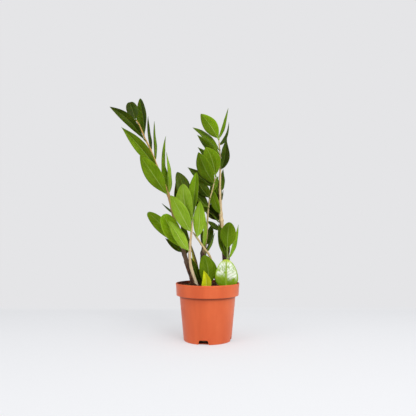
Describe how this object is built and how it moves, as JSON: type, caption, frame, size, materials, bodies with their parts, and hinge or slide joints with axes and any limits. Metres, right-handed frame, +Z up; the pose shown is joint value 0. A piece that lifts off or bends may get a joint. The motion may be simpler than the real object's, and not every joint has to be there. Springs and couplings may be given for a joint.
{
  "type": "potted zz plant",
  "caption": "Potted ZZ plant: leaning fleshy stems with glossy pointed leaflets, growing in peat in a round plastic nursery pot.",
  "frame": {"origin": "centre of the pot's flat base, where it stands", "axes": "+Z up along the pot's axis; the plant's front, as it is usually seen, faces -Y"},
  "size_m": [0.2496, 0.1205, 0.4782],
  "materials": {
    "pot_plastic": "smooth moulded terracotta-orange polypropylene with a soft sheen",
    "soil": "loose dark brown peat with fibres",
    "rhizome": "pale brown ringed skin",
    "stem": "tan fleshy stalk, brown and mottled towards the soil",
    "leaf_bright": "waxy bright green leaflet",
    "leaf_green": "waxy mid green leaflet",
    "leaf_dark": "waxy dark green leaflet",
    "leaf_young": "young yellow-green leaflet",
    "leaf_pale": "glossy pale green leaflet"
  },
  "bodies": {
    "root": {"pot": "pot_plastic", "soil": "soil", "rhizome": "rhizome", "stem_left_tall": "stem", "stem_front": "stem", "stem_crossing": "stem", "stem_back": "stem", "stem_middle": "stem", "stem_right_tall": "stem", "stem_right_short": "stem", "leaflet_a_top": "leaf_dark", "leaflet_a_back_top": "leaf_dark", "leaflet_a_left_1": "leaf_dark", "leaflet_a_left_2": "leaf_green", "leaflet_a_left_3": "leaf_green", "leaflet_a_right_1": "leaf_dark", "leaflet_a_right_2": "leaf_green", "leaflet_a_right_3": "leaf_green", "leaflet_a_right_4": "leaf_bright", "leaflet_a_low_1": "leaf_green", "leaflet_a_low_2": "leaf_green", "leaflet_b_left_1": "leaf_bright", "leaflet_b_back": "leaf_dark", "leaflet_b_left_2": "leaf_bright", "leaflet_b_top_1": "leaf_bright", "leaflet_b_top_2": "leaf_green", "leaflet_c_top": "leaf_bright", "leaflet_d_top_1": "leaf_dark", "leaflet_d_top_2": "leaf_dark", "leaflet_d_left": "leaf_dark", "leaflet_e_top_1": "leaf_green", "leaflet_e_top_2": "leaf_green", "leaflet_e_left_1": "leaf_dark", "leaflet_e_left_2": "leaf_dark", "leaflet_e_left_3": "leaf_dark", "leaflet_e_low_1": "leaf_bright", "leaflet_e_low_2": "leaf_dark", "leaflet_e_low_3": "leaf_dark", "leaflet_e_low_4": "leaf_green", "leaflet_e_low_5": "leaf_dark", "leaflet_f_top_1": "leaf_green", "leaflet_f_top_2": "leaf_green", "leaflet_f_left_1": "leaf_green", "leaflet_f_left_2": "leaf_green", "leaflet_f_left_3": "leaf_green", "leaflet_f_left_4": "leaf_green", "leaflet_f_left_5": "leaf_dark", "leaflet_f_left_6": "leaf_dark", "leaflet_f_right_1": "leaf_dark", "leaflet_f_right_2": "leaf_dark", "leaflet_f_right_3": "leaf_dark", "leaflet_f_right_4": "leaf_dark", "leaflet_g_front": "leaf_green", "leaflet_g_right": "leaf_green", "leaflet_g_back": "leaf_dark", "leaflet_low_glossy": "leaf_pale", "leaflet_low_round": "leaf_green", "leaflet_low_young": "leaf_young", "leaflet_low_folded": "leaf_dark", "leaflet_low_shoot": "leaf_young"}
  },
  "joints": []
}
